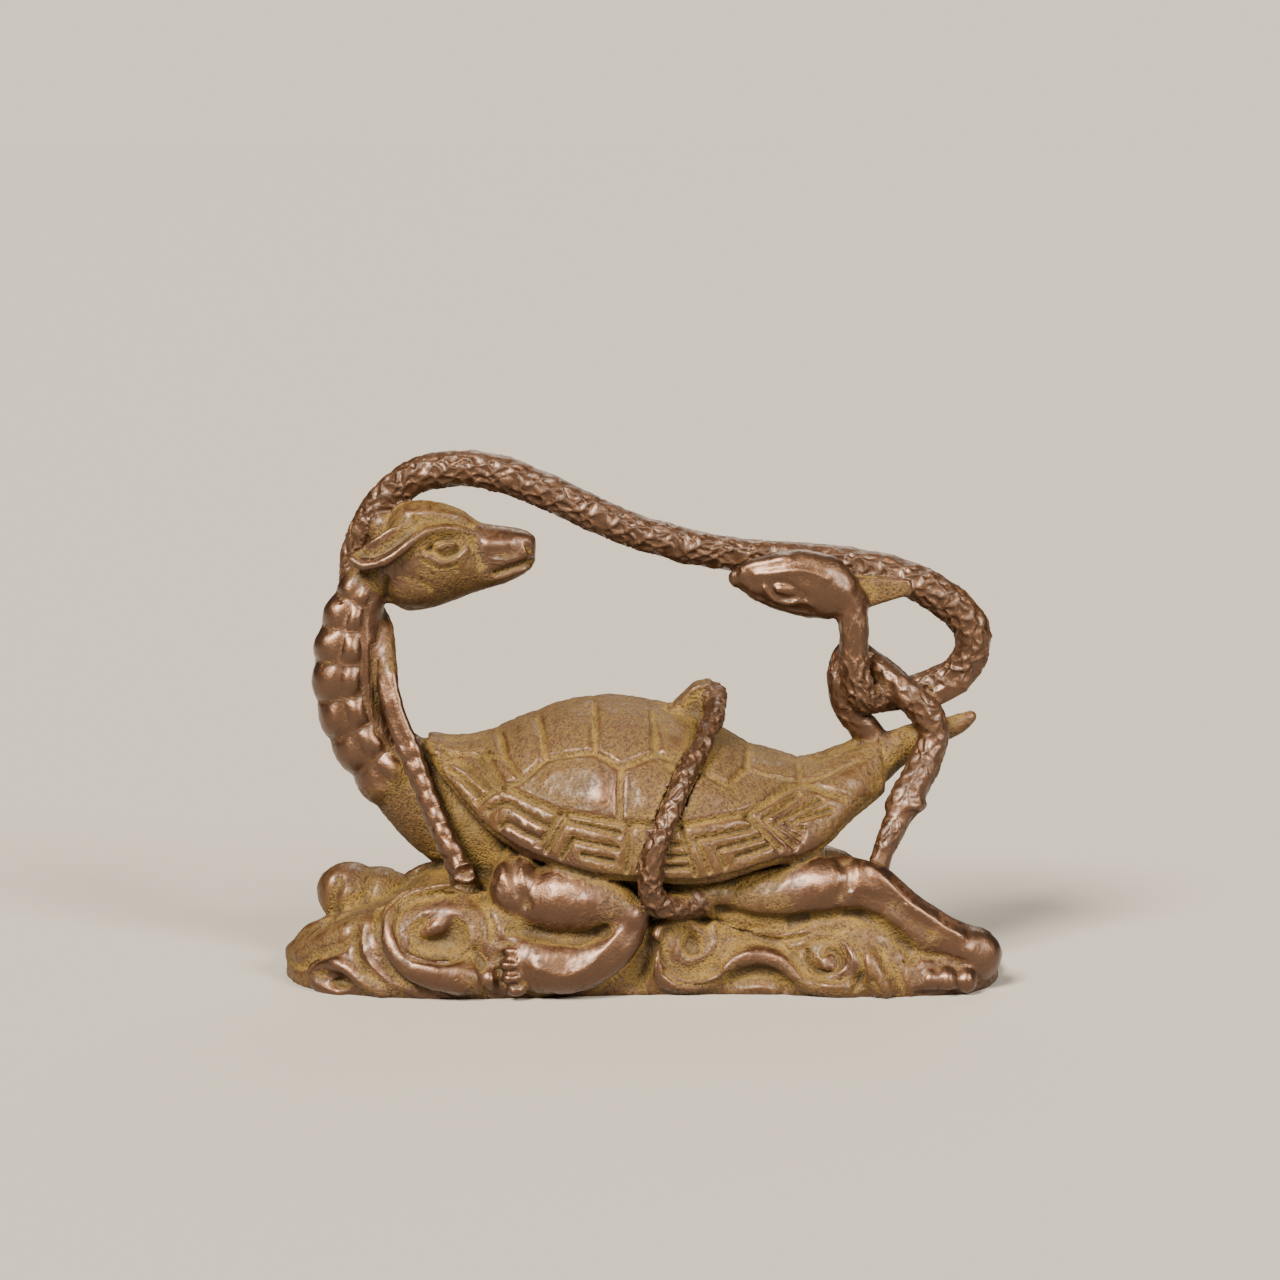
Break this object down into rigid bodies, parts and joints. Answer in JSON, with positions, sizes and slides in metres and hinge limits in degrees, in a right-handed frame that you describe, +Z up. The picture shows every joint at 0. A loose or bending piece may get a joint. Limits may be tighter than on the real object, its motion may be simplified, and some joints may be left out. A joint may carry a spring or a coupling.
{
  "type": "tortoise and snake figure",
  "caption": "Small cast bronze tortoise on a scrolled cloud base, entwined by a snake whose body arches over its back in an open loop.",
  "frame": {"origin": "centre of the bounding box in X and Y, on the flat underside of the cloud base", "axes": "+Z up; the tortoise's neck rises at -X and both heads lie between it and +X; the tortoise's tail points along +X; the side with the snake's head and the scrolls faces -Y"},
  "size_m": [0.11, 0.0498, 0.0805],
  "materials": {
    "bronze": "dark brown patinated bronze with a khaki bloom in the hollows, satin where it is rubbed"
  },
  "bodies": {
    "root": {"tortoise_and_snake": "bronze"}
  },
  "joints": []
}
